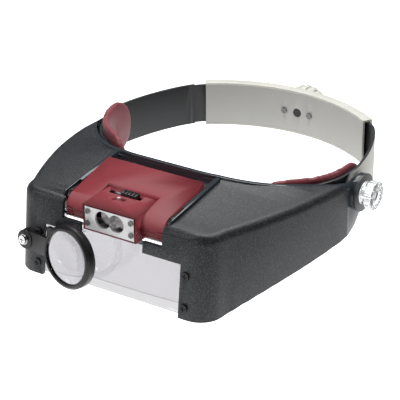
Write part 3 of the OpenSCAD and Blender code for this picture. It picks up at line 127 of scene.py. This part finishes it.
def add_floor():
    mesh = bpy.data.meshes.new("floor")
    h = FLOOR_SIZE / 2
    corners = [(x, y, FLOOR_Z) for x, y in ((-h, -h), (h, -h), (h, h), (-h, h))]
    mesh.from_pydata(corners, [], [(0, 1, 2, 3)])
    floor = bpy.data.objects.new("floor", mesh)
    bpy.context.scene.collection.objects.link(floor)
    material = bpy.data.materials.new("white_floor")
    material.use_nodes = True
    shader = material.node_tree.nodes["Principled BSDF"]
    shader.inputs["Base Color"].default_value = FLOOR_COLOUR
    shader.inputs["Roughness"].default_value = FLOOR_ROUGHNESS
    shader.inputs["Specular IOR Level"].default_value = FLOOR_SPECULAR
    shader.inputs["Emission Color"].default_value = (1, 1, 1, 1)
    tree = material.node_tree
    glow = tree.nodes.new("ShaderNodeMix")
    glow.inputs["A"].default_value = FLOOR_GLOW
    glow.inputs["B"].default_value = FLOOR_SEEN
    tree.links.new(tree.nodes.new("ShaderNodeLightPath").outputs["Is Camera Ray"], glow.inputs["Factor"])
    tree.links.new(glow.outputs["Result"], shader.inputs["Emission Strength"])
    mesh.materials.append(material)


def add_softbox(name, place, size, watts):
    data = bpy.data.lights.new(name, "AREA")
    data.shape = "RECTANGLE"
    data.size, data.size_y = size
    data.energy = watts
    box = bpy.data.objects.new(name, data)
    box.location = place
    box.rotation_mode = "QUATERNION"
    box.rotation_quaternion = (LIGHTS_AIM - Vector(place)).to_track_quat("-Z", "Y")
    bpy.context.scene.collection.objects.link(box)


def light_room():
    world = bpy.data.worlds.new("studio")
    world.use_nodes = True
    tree = world.node_tree
    background = tree.nodes["Background"]
    where = tree.nodes.new("ShaderNodeTexCoord")
    split = tree.nodes.new("ShaderNodeSeparateXYZ")
    height = tree.nodes.new("ShaderNodeMapRange")
    height.inputs["From Min"].default_value = ROOM_LOW_AT
    height.inputs["From Max"].default_value = ROOM_HIGH_AT
    height.inputs["To Min"].default_value = ROOM_LOW
    height.inputs["To Max"].default_value = ROOM_HIGH
    tree.links.new(where.outputs["Generated"], split.inputs[0])
    tree.links.new(split.outputs["Z"], height.inputs["Value"])
    background.inputs["Color"].default_value = (1, 1, 1, 1)
    path = tree.nodes.new("ShaderNodeLightPath")
    seen = tree.nodes.new("ShaderNodeMath")
    seen.operation = "MAXIMUM"
    tree.links.new(path.outputs["Is Camera Ray"], seen.inputs[0])
    tree.links.new(path.outputs["Is Transmission Ray"], seen.inputs[1])
    strength = tree.nodes.new("ShaderNodeMix")
    tree.links.new(seen.outputs[0], strength.inputs["Factor"])
    tree.links.new(height.outputs["Result"], strength.inputs["A"])
    strength.inputs["B"].default_value = ROOM_SEEN
    tree.links.new(strength.outputs["Result"], background.inputs["Strength"])
    bpy.context.scene.world = world


add_floor()
light_room()
add_softbox("overhead_box", (-0.1, 0.25, 0.9), (0.9, 0.9), 12)
add_softbox("front_box", (-0.7, -1.1, 0.8), (0.6, 0.8), 5)
add_softbox("low_box", (-0.62, -1.02, -0.16), (0.06, 0.07), 0.06)
bpy.context.scene.view_settings.view_transform = "Standard"

# %% [markdown]
# ## Shared surface effects
# Moulded plastic is never quite flat in tone. The grain group gives the height of a fine
# sparked texture and a mask of small spots, on which the visor paints glints into its colour. The
# drift group gives a slow change over centimetres, for handling and uneven moulding. Both work in
# the piece's own coordinates, in metres, so a real size can be set for each finish.

# %% Shared surface effects
FINE_SCALE, FINE_SHARE = 2.3, 0.6
GLINT_BAND = (0.50, 0.66)
DRIFT_BAND = (0.35, 0.65)


def new_group(name, inputs, outputs):
    group = bpy.data.node_groups.new(name, "ShaderNodeTree")
    for label, value in inputs:
        socket = group.interface.new_socket(label, in_out="INPUT", socket_type="NodeSocketFloat")
        socket.default_value = value
    for label in outputs:
        group.interface.new_socket(label, in_out="OUTPUT", socket_type="NodeSocketFloat")
    return group, group.nodes.new("NodeGroupInput"), group.nodes.new("NodeGroupOutput")


def math_node(tree, operation, a, b=None, clamp=False):
    node = tree.nodes.new("ShaderNodeMath")
    node.operation = operation
    node.use_clamp = clamp
    for socket, value in zip(node.inputs, (a, b)):
        if value is None:
            continue
        if isinstance(value, (int, float)):
            socket.default_value = value
        else:
            tree.links.new(value, socket)
    return node.outputs[0]


def ramp_node(tree, value, low, high, out_low=0.0, out_high=1.0):
    node = tree.nodes.new("ShaderNodeMapRange")
    node.interpolation_type = "SMOOTHSTEP"
    tree.links.new(value, node.inputs["Value"])
    for label, number in (("From Min", low), ("From Max", high), ("To Min", out_low), ("To Max", out_high)):
        node.inputs[label].default_value = number
    return node.outputs["Result"]


def noise_node(tree, where, scale, detail):
    node = tree.nodes.new("ShaderNodeTexNoise")
    node.inputs["Detail"].default_value = detail
    tree.links.new(where, node.inputs["Vector"])
    tree.links.new(scale, node.inputs["Scale"])
    return node.outputs["Fac"]


def grain_group():
    group, given, made = new_group("moulded_grain", [("Size mm", 0.5)], ["Height", "Glint"])
    where = group.nodes.new("ShaderNodeTexCoord").outputs["Object"]
    scale = math_node(group, "DIVIDE", 1 / MM, given.outputs["Size mm"])
    coarse = noise_node(group, where, scale, 1.0)
    fine = noise_node(group, where, math_node(group, "MULTIPLY", scale, FINE_SCALE), 2.0)
    height = math_node(group, "ADD", coarse, math_node(group, "MULTIPLY", fine, FINE_SHARE))
    group.links.new(height, made.inputs["Height"])
    group.links.new(ramp_node(group, coarse, *GLINT_BAND), made.inputs["Glint"])
    return group


def drift_group():
    group, given, made = new_group("handling_drift", [("Size mm", 20.0)], ["Drift"])
    where = group.nodes.new("ShaderNodeTexCoord").outputs["Object"]
    scale = math_node(group, "DIVIDE", 1 / MM, given.outputs["Size mm"])
    group.links.new(noise_node(group, where, scale, 3.0), made.inputs["Drift"])
    return group


GRAIN = grain_group()
DRIFT = drift_group()
print("groups:", [g.name for g in bpy.data.node_groups])

# %% [markdown]
# ## Plastics and metals
# Each finish is one function. They share a helper that starts a Principled shader with its
# plain numbers, another that mixes two colours by a mask, one that lets the roughness drift, and
# one that presses the grain into the surface as a bump.

# %% Material helpers
WEAR_BAND = (0.3, 0.7)
BUMP_SHARE = 0.1
materials = {}


def start_material(name, colour, roughness, **plain):
    material = bpy.data.materials.new(name)
    material.use_nodes = True
    shader = material.node_tree.nodes["Principled BSDF"]
    shader.inputs["Base Color"].default_value = (*colour, 1)
    shader.inputs["Roughness"].default_value = roughness
    for label, value in plain.items():
        shader.inputs[label.replace("_", " ")].default_value = value
    materials[name] = material
    return material.node_tree, shader


def use_group(tree, group, size_mm):
    node = tree.nodes.new("ShaderNodeGroup")
    node.node_tree = group
    node.inputs["Size mm"].default_value = size_mm
    return node


def mix_colours(tree, mask, a, b):
    node = tree.nodes.new("ShaderNodeMix")
    node.data_type = "RGBA"
    tree.links.new(mask, node.inputs["Factor"])
    for label, value in (("A", a), ("B", b)):
        socket = [s for s in node.inputs if s.name == label and s.type == "RGBA"][0]
        if isinstance(value, tuple):
            socket.default_value = (*value, 1)
        else:
            tree.links.new(value, socket)
    return [s for s in node.outputs if s.type == "RGBA"][0]


def press_bump(tree, shader, height, strength, depth_mm):
    bump = tree.nodes.new("ShaderNodeBump")
    bump.inputs["Distance"].default_value = depth_mm * MM
    if isinstance(strength, (int, float)):
        bump.inputs["Strength"].default_value = strength
    else:
        tree.links.new(strength, bump.inputs["Strength"])
    tree.links.new(height, bump.inputs["Height"])
    tree.links.new(bump.outputs["Normal"], shader.inputs["Normal"])


def drifting_roughness(tree, shader, drift, roughness, least, most):
    """Roughness that drifts between two shares of its plain value."""
    tree.links.new(ramp_node(tree, drift.outputs["Drift"], *WEAR_BAND, roughness * least, roughness * most),
                   shader.inputs["Roughness"])


def moulded(name, dark, light, roughness, grain_mm, bump, drift_mm=25.0, **plain):
    """A moulded plastic: two close tones and a roughness that drift together, and a fine grain."""
    tree, shader = start_material(name, dark, roughness, **plain)
    grain = use_group(tree, GRAIN, grain_mm)
    drift = use_group(tree, DRIFT, drift_mm)
    tree.links.new(mix_colours(tree, ramp_node(tree, drift.outputs["Drift"], *DRIFT_BAND), dark, light),
                   shader.inputs["Base Color"])
    drifting_roughness(tree, shader, drift, roughness, 0.9, 1.1)
    press_bump(tree, shader, grain.outputs["Height"], bump, grain_mm * BUMP_SHARE)
    return tree, shader


# %% [markdown]
# ## The visor's black
# The visor's outside is spark-eroded: a coarse black grain, with painted glints as light specks
# in its colour. Its forehead rim and the border of the lamp bay are polished. Both are one
# moulding, so one material holds both finishes, and a mask from the piece's own coordinates says
# where the rim is. The mask repeats the rim's curve in plan: flat in the middle, then bending back
# towards the arms.

# %% Visor black
HEAD_Y = 127.7
RIM_Y, RIM_DEPTH, RIM_FLAT_X, RIM_SIDE_X, RIM_POWER = 57.0, 42.0, 18.0, 78.0, 2.144
COLLAR_T = 2.4
BAY_HALF_W, BORDER_W = 31.0, 2.8
BORDER_FRONT_Y = 9.0
COLLAR_FADE, BORDER_FADE = 0.15, 0.2


def rim_mask_group():
    """1 on the polished rim and on the bay's border, 0 on the grained shell."""
    group, _, made = new_group("polished_rim", [], ["Rim"])
    where = group.nodes.new("ShaderNodeTexCoord").outputs["Object"]
    split = group.nodes.new("ShaderNodeSeparateXYZ")
    group.links.new(where, split.inputs[0])
    side = math_node(group, "DIVIDE", math_node(group, "ABSOLUTE", split.outputs["X"]), MM)
    back = math_node(group, "ADD", math_node(group, "DIVIDE", split.outputs["Y"], MM), HEAD_Y)
    along = math_node(group, "MAXIMUM", math_node(group, "SUBTRACT", side, RIM_FLAT_X), 0.0)
    share = math_node(group, "DIVIDE", along, RIM_SIDE_X - RIM_FLAT_X)
    rim_y = math_node(group, "MULTIPLY_ADD", math_node(group, "POWER", share, RIM_POWER), RIM_DEPTH)
    rim_y.node.inputs[2].default_value = RIM_Y - COLLAR_T
    collar = ramp_node(group, math_node(group, "SUBTRACT", back, rim_y), -COLLAR_FADE, COLLAR_FADE)
    outer = ramp_node(group, side, BAY_HALF_W + BORDER_W, BAY_HALF_W + BORDER_W + BORDER_FADE, 1, 0)
    behind = ramp_node(group, back, BORDER_FRONT_Y, BORDER_FRONT_Y + BORDER_FADE)
    border = math_node(group, "MULTIPLY", outer, behind)
    group.links.new(math_node(group, "MAXIMUM", collar, border, clamp=True), made.inputs["Rim"])
    return group


VISOR_GRAIN_MM, VISOR_DRIFT_MM = 0.62, 30.0
VISOR_DARK, VISOR_LIGHT = (0.008, 0.0095, 0.013), (0.013, 0.015, 0.019)
# The colour of a painted glint and its share, mixed into the shell's black.
PAINTED_GLINT, PAINTED_GLINT_SHARE = (0.16, 0.172, 0.19), 0.36
POLISHED = (0.038, 0.048, 0.058)
POLISHED_ROUGHNESS, ERODED_ROUGHNESS = 0.16, 0.46
ERODED_BUMP, ERODED_DEPTH_MM = 0.55, 0.09


def visor_black():
    tree, shader = start_material("visor_plastic", VISOR_DARK, ERODED_ROUGHNESS)
    grain = use_group(tree, GRAIN, VISOR_GRAIN_MM)
    drift = use_group(tree, DRIFT, VISOR_DRIFT_MM)
    rim = tree.nodes.new("ShaderNodeGroup")
    rim.node_tree = rim_mask_group()
    eroded = math_node(tree, "SUBTRACT", 1.0, rim.outputs["Rim"])
    glint = math_node(tree, "MULTIPLY", grain.outputs["Glint"], eroded)
    tone = mix_colours(tree, ramp_node(tree, drift.outputs["Drift"], *DRIFT_BAND), VISOR_DARK, VISOR_LIGHT)
    # Painted glints: a light colour mixed into the eroded shell on the grain's spots.
    shell = mix_colours(tree, math_node(tree, "MULTIPLY", glint, PAINTED_GLINT_SHARE), tone, PAINTED_GLINT)
    tree.links.new(mix_colours(tree, rim.outputs["Rim"], shell, POLISHED), shader.inputs["Base Color"])
    tree.links.new(ramp_node(tree, eroded, 0, 1, POLISHED_ROUGHNESS, ERODED_ROUGHNESS),
                   shader.inputs["Roughness"])
    press_bump(tree, shader, grain.outputs["Height"], math_node(tree, "MULTIPLY", eroded, ERODED_BUMP),
               ERODED_DEPTH_MM)


visor_black()
print("materials:", sorted(materials))

# %% [markdown]
# ## The other plastics
# The lamp is a smooth burgundy, the pads a softer, warmer red. The straps are slate on the side
# that meets the head and ivory on the outside, which is painted light and shade: the outward faces
# lit, the inward ones in shade. The rear sleeve is a light grey inside, and ivory on its cover and
# knob. Loupe frame, clips and switch slider are smooth black.

# %% Other plastics
OUTWARD_BAND = (0.2, 0.5)
IVORY = (0.70, 0.69, 0.63)
SLATE = ((0.020, 0.022, 0.025), (0.026, 0.028, 0.031), 0.42, 0.3, 0.1, 35.0)
moulded("burgundy_plastic", (0.262, 0.036, 0.046), (0.285, 0.042, 0.053), 0.45, 0.35, 0.06, 30.0,
        Specular_IOR_Level=0.35)
moulded("black_plastic", (0.010, 0.010, 0.011), (0.014, 0.014, 0.016), 0.3, 0.4, 0.08)
moulded("strap_plastic", *SLATE)
moulded("grey_plastic", (0.56, 0.565, 0.53), (0.59, 0.595, 0.56), 0.55, 0.4, 0.08, 40.0)
moulded("ivory_plastic", IVORY, (0.74, 0.73, 0.67), 0.5, 0.4, 0.06, 40.0)
moulded("washer_plastic", (0.045, 0.047, 0.050), (0.06, 0.062, 0.066), 0.3, 0.3, 0.08)


def outward_mask(tree):
    """1 where a face looks away from the middle of the head loop, 0 where it looks in."""
    where = tree.nodes.new("ShaderNodeTexCoord")
    level = tree.nodes.new("ShaderNodeVectorMath")
    level.operation = "MULTIPLY"
    level.inputs[1].default_value = (1, 1, 0)
    unit = tree.nodes.new("ShaderNodeVectorMath")
    unit.operation = "NORMALIZE"
    along = tree.nodes.new("ShaderNodeVectorMath")
    along.operation = "DOT_PRODUCT"
    tree.links.new(where.outputs["Object"], level.inputs[0])
    tree.links.new(level.outputs["Vector"], unit.inputs[0])
    tree.links.new(unit.outputs["Vector"], along.inputs[0])
    tree.links.new(where.outputs["Normal"], along.inputs[1])
    return ramp_node(tree, along.outputs["Value"], *OUTWARD_BAND)


def painted_light_strap():
    """The straps' slate and ivory, split by facing: painted light and shade, lit outside, shaded inside."""
    tree, shader = moulded("painted_light_strap", *SLATE)
    slate = shader.inputs["Base Color"].links[0].from_socket
    # Painted light and shade: ivory where a face looks away from the head, slate where it looks in.
    tree.links.new(mix_colours(tree, outward_mask(tree), slate, IVORY), shader.inputs["Base Color"])


painted_light_strap()
print("materials:", sorted(materials))

# %% [markdown]
# ## Clear acrylic
# Lenses, side knob and bulbs are clear acrylic: a Principled shader that transmits everything,
# with acrylic's index of refraction and the faintest cool tint. Handling leaves a little haze,
# which is a slow change of roughness from the drift group. The window's plate has a grey tint
# that is painted shade, standing for the shade under the visor that is seen through it. The cut
# edges of the plates, which don't face forwards or back, are matt and partly see-through, so that
# an edge reads as a soft line and not as a black one.

# %% Clear acrylic
ACRYLIC_IOR = 1.49
HAZE, HAZE_MM = 0.02, 9.0
HAZE_BAND = (0.4, 0.75)
CUT_EDGE_FACING = (0.3, 0.6)
CUT_EDGE_ROUGHNESS = 0.6
CUT_EDGE_ALPHA = 0.3


def acrylic(name, tint, matt_edges=False):
    tree, shader = start_material(name, tint, HAZE, Transmission_Weight=1.0, IOR=ACRYLIC_IOR)
    drift = use_group(tree, DRIFT, HAZE_MM)
    rough = ramp_node(tree, drift.outputs["Drift"], *HAZE_BAND, HAZE * 0.5, HAZE * 1.5)
    if matt_edges:
        split = tree.nodes.new("ShaderNodeSeparateXYZ")
        tree.links.new(tree.nodes.new("ShaderNodeTexCoord").outputs["Normal"], split.inputs[0])
        facing = math_node(tree, "ABSOLUTE", split.outputs["Y"])
        edge = ramp_node(tree, facing, *CUT_EDGE_FACING, CUT_EDGE_ROUGHNESS, 0.0)
        rough = math_node(tree, "MAXIMUM", rough, edge)
        alpha = ramp_node(tree, facing, *CUT_EDGE_FACING, CUT_EDGE_ALPHA, 1.0)
        tree.links.new(alpha, shader.inputs["Alpha"])
    tree.links.new(rough, shader.inputs["Roughness"])


acrylic("clear_acrylic", (0.93, 0.955, 0.965))
# Painted shade: the window's grey tint stands for the shade seen through it.
acrylic("shade_tinted_window", (0.51, 0.502, 0.52), matt_edges=True)
acrylic("lens_acrylic", (0.95, 0.948, 0.96), matt_edges=True)
print("materials:", sorted(materials))

# %% [markdown]
# ## Metals
# The lamp's bezel is satin silver, and its reflector is plastic plated with bright metal, so it
# keeps the faint waviness of the moulding. The loupe's screw is bright. Other screws, nuts and
# pins are zinc-plated steel with a fine turned grain, duller at the bezel and the sleeve; the
# lens screws are blackened. The cells have plain wrapped cans, the contacts are brass.

# %% Metals
METAL_DRIFT_MM = 6.0


def metal(name, colour, roughness, grain_mm, bump, metallic=1.0):
    tree, shader = start_material(name, colour, roughness, Metallic=metallic)
    grain = use_group(tree, GRAIN, grain_mm)
    drift = use_group(tree, DRIFT, METAL_DRIFT_MM)
    drifting_roughness(tree, shader, drift, roughness, 0.7, 1.4)
    press_bump(tree, shader, grain.outputs["Height"], bump, grain_mm * BUMP_SHARE)


metal("chrome", (0.86, 0.86, 0.87), 0.2, 2.5, 0.1)
metal("satin_silver", (0.86, 0.86, 0.86), 0.4, 0.6, 0.1, metallic=0.35)
metal("plated_cup", (0.82, 0.80, 0.81), 0.25, 1.2, 0.1, metallic=0.35)
metal("dull_steel", (0.22, 0.22, 0.22), 0.35, 0.3, 0.1, metallic=0.5)
metal("bright_pin", (0.92, 0.92, 0.92), 0.25, 0.4, 0.05, metallic=0.3)
metal("steel", (0.60, 0.60, 0.61), 0.28, 0.25, 0.15)
metal("black_steel", (0.03, 0.03, 0.032), 0.3, 0.3, 0.15, metallic=0.4)
metal("cell_wrap", (0.25, 0.26, 0.28), 0.3, 1.5, 0.05, metallic=0.6)
metal("brass", (0.75, 0.55, 0.24), 0.25, 0.3, 0.12)
print("materials:", sorted(materials))

# %% [markdown]
# ## Pad foam
# The pads are closed-cell foam with a smooth skin: mostly diffuse, with a soft sheen where the
# light grazes them.

# %% Pad foam
moulded("pad_foam", (0.235, 0.040, 0.055), (0.27, 0.050, 0.066), 0.5, 0.5, 0.12, 14.0, Sheen_Weight=0.15)
print("materials:", sorted(materials))

# %% [markdown]
# ## Dressing the rigid pieces
# A moulded edge is never sharp: a small round on it is what catches the light. The rigid
# pieces are copied, their flat faces cleaned of leftover edges, and a narrow bevel is cut along
# every sharp edge. The copy then stands for the piece, in the same place. Pieces that are too
# small to show a round keep their mesh and only take their material. A few pieces have a finish
# of their own, and the faces inside the lamp head are plated as the reflector is.

# %% Dressing the rigid pieces
FLAT_ANGLE = math.radians(0.5)
SHARP_ANGLE = math.radians(32)
WELD = 2e-6
ROUND_STEPS = 2


def put_material(target, slot):
    target.data.materials.clear()
    target.data.materials.append(materials[slot])


def cleaned_copy(node, name):
    """A copy of a node's mesh with its facets welded and its flat faces made whole."""
    mesh = nodes[node].data.copy()
    mesh.name = name
    bm = bmesh.new()
    bm.from_mesh(mesh)
    bmesh.ops.remove_doubles(bm, verts=bm.verts, dist=WELD)
    bmesh.ops.dissolve_limit(bm, angle_limit=FLAT_ANGLE, verts=bm.verts, edges=bm.edges)
    bm.to_mesh(mesh)
    bm.free()
    piece = bpy.data.objects.new(name, mesh)
    bpy.context.scene.collection.objects.link(piece)
    return piece


def bake_modifiers(piece):
    bpy.context.view_layer.update()
    made = bpy.data.meshes.new_from_object(piece.evaluated_get(bpy.context.evaluated_depsgraph_get()))
    piece.modifiers.clear()
    piece.data = made


def smooth_shading(piece, angle=SHARP_ANGLE):
    piece.data.shade_smooth()
    piece.data.set_sharp_from_angle(angle=angle)


def rounded_copy(node, name, width_mm):
    piece = cleaned_copy(node, name)
    bevel = piece.modifiers.new("round", "BEVEL")
    bevel.limit_method = "ANGLE"
    bevel.angle_limit = SHARP_ANGLE
    bevel.width = width_mm * MM
    bevel.segments = ROUND_STEPS
    bevel.use_clamp_overlap = True
    bake_modifiers(piece)
    smooth_shading(piece)
    return piece


FINISH = {"main_lens": "shade_tinted_window", "flip_lens": "lens_acrylic", "loupe_lens": "lens_acrylic",
          "lamp_bezel": "satin_silver", "bezel_screws": "dull_steel", "aiming_pin": "bright_pin",
          "sleeve_screws": "dull_steel", "sleeve_outer": "ivory_plastic", "size_knob": "ivory_plastic",
          "pivot_washer": "washer_plastic", "reflector_unit": "plated_cup", "size_pinion": "black_plastic"}
HEAD_MARGIN = 0.6 * MM


def finish_of(node):
    return FINISH.get(node, slot_of_node[node])


def stand_for(piece, node):
    """The piece takes the node's place, its body and its finish."""
    put_material(piece, finish_of(node))
    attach(piece, body_of_node[node])
    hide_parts(node)
    return piece


def plate_inside(piece):
    """Bright plating on the faces within the lamp head, which the reflector's cups mirror."""
    low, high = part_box("lamp_bezel")
    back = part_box("reflector_unit")[1].y + HEAD_MARGIN
    piece.data.materials.append(materials["plated_cup"])
    plated = 0
    for face in piece.data.polygons:
        x, y, z = face.center
        if low.x + HEAD_MARGIN < x < high.x - HEAD_MARGIN and high.y < y < back and low.z < z < high.z:
            face.material_index = 1
            plated += 1
    print(piece.name, plated, "plated faces")


ROUNDED = {"visor_housing": 0.35, "lamp_lid": 0.3, "lamp_tray": 0.25, "battery_door": 0.25,
           "loupe_frame": 0.25, "left_lamp_clip": 0.2, "right_lamp_clip": 0.2, "switch_slider": 0.12,
           "lamp_bezel": 0.12, "forehead_band": 0.3, "sleeve_outer": 0.3, "sleeve_inner": 0.2,
           "size_knob": 0.4, "side_knob": 0.25, "pivot_washer": 0.25}
for node, width in ROUNDED.items():
    made = stand_for(rounded_copy(node, node + "_shape", width), node)
    print(made.name, len(made.data.polygons), "faces")
    if node in ("lamp_lid", "lamp_tray"):
        plate_inside(made)
for node in nodes:
    put_material(nodes[node], finish_of(node))

# %% [markdown]
# ## Forehead pads
# A foam pad swells between its edges. Each is simulated: the plain pad is remeshed into an even
# net, given cloth with a little pressure and no gravity, and let go for a few frames. The swell
# is capped, so the pad stays clear of the head's space and of the band behind it.

# %% Forehead pads
PAD_VOXEL = 1.6 * MM
PAD_FRAMES = 14
PAD_CAP = 0.9 * MM
PAD_PRESSURE = 2.5
PAD_QUALITY = 6
PAD_SHARP_ANGLE = math.radians(80)


def soft_pad(side):
    node = side + "_pad"
    pad = cleaned_copy(node, side + "_forehead_cushion")
    remesh = pad.modifiers.new("net", "REMESH")
    remesh.mode = "VOXEL"
    remesh.voxel_size = PAD_VOXEL
    bake_modifiers(pad)
    rest = [v.co.copy() for v in pad.data.vertices]
    cloth = pad.modifiers.new("foam", "CLOTH")
    cloth.settings.use_pressure = True
    cloth.settings.uniform_pressure_force = PAD_PRESSURE
    cloth.settings.effector_weights.gravity = 0
    cloth.settings.quality = PAD_QUALITY
    for step in range(1, PAD_FRAMES + 1):
        bpy.context.scene.frame_set(step)
    bake_modifiers(pad)
    for vertex, start in zip(pad.data.vertices, rest):
        move = vertex.co - start
        if move.length > PAD_CAP:
            vertex.co = start + move * (PAD_CAP / move.length)
    bpy.context.scene.frame_set(1)
    smooth = pad.modifiers.new("skin", "SUBSURF")
    smooth.levels = smooth.render_levels = 1
    bake_modifiers(pad)
    smooth_shading(pad, PAD_SHARP_ANGLE)
    stand_for(pad, node)
    return pad


for side in ("left", "right"):
    pad = soft_pad(side)
    print(pad.name, len(pad.data.polygons), "faces")

# %% [markdown]
# ## Rack straps
# Each strap is pinned at the visor's pivot at one end and runs into the rear sleeve at the other.
# When the knob sizes the band, the strap flexes. Here each strap is a rounded copy of its piece in
# the strap's material, standing in its place.

# %% Rack straps
STRAP_ROUND = 0.3


def bending_strap(side):
    node = side + "_rack_strap"
    strap = rounded_copy(node, side + "_strap_band", STRAP_ROUND)
    # The strap's material paints light and shade on its two sides.
    put_material(strap, "painted_light_strap")
    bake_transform(strap)
    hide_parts(node)
    return strap


for side in ("left", "right"):
    print(bending_strap(side).name)
